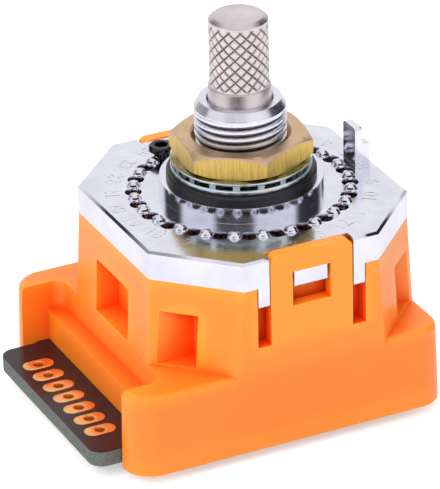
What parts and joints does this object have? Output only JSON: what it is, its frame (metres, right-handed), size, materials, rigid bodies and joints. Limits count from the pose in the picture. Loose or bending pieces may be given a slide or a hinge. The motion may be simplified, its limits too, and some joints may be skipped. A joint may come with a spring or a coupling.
{
  "type": "rotary switch",
  "caption": "Panel-mounted coded rotary switch: knurled shaft, threaded bushing with nut and washers, metal front cover with stop holes, orange housing, board with solder pads.",
  "frame": {"origin": "on the shaft's axis, in the plane of the front boss's rim, where the back of the panel sits", "axes": "+Z along the shaft towards its free end; -X towards the board's connector edge; +X towards the locating tab"},
  "size_m": [0.0377, 0.0312, 0.0411],
  "materials": {
    "zinc": "cast and bead-blasted, plated, satin",
    "brass": "turned, bright",
    "washer_steel": "zinc plated, pale blue-green",
    "seal_rubber": "moulded, satin",
    "black_steel": "blackened",
    "orange_plastic": "moulded, satin gloss",
    "board": "dark lacquer over laminate",
    "gold_plate": "gold plated copper",
    "screw_steel": "nickel plated",
    "bearing_brass": "turned",
    "hard_steel": "hardened and ground",
    "shaft_steel": "turned and rolled stainless steel",
    "dark_plastic": "moulded, matt"
  },
  "bodies": {
    "housing": {"front_cover": "zinc", "hex_nut": "brass", "toothed_lock_washer": "washer_steel", "flat_washer": "washer_steel", "panel_seal": "seal_rubber", "stop_screw": "black_steel", "housing": "orange_plastic", "circuit_board": "board", "solder_pads": "gold_plate", "contact_tracks": "gold_plate", "board_screws": "screw_steel", "rear_bearing": "bearing_brass", "detent_ring": "hard_steel", "thrust_washer": "hard_steel"},
    "rotor": {"shaft": "shaft_steel", "shaft_seal": "seal_rubber", "retaining_clip": "hard_steel", "stop_arm": "hard_steel", "detent_rotor": "dark_plastic", "detent_springs": "hard_steel", "contact_rotor": "dark_plastic", "wiper_contacts": "gold_plate"},
    "detent_ball_a": {"detent_ball_a": "hard_steel"},
    "detent_ball_b": {"detent_ball_b": "hard_steel"}
  },
  "joints": [
    {"name": "shaft_turn", "type": "hinge", "parent": "housing", "child": "rotor", "pos_m": [0, 0, 0], "axis": [0, 0, 1], "range_deg": [-165, 165]},
    {"name": "ball_a_travel", "type": "slide", "parent": "rotor", "child": "detent_ball_a", "axis": [1, 0, 0], "range_m": [0, 0.0004], "stiffness_N_per_m": 300, "springref_m": 0.003},
    {"name": "ball_b_travel", "type": "slide", "parent": "rotor", "child": "detent_ball_b", "axis": [-1, 0, 0], "range_m": [0, 0.0004], "stiffness_N_per_m": 300, "springref_m": 0.003}
  ]
}
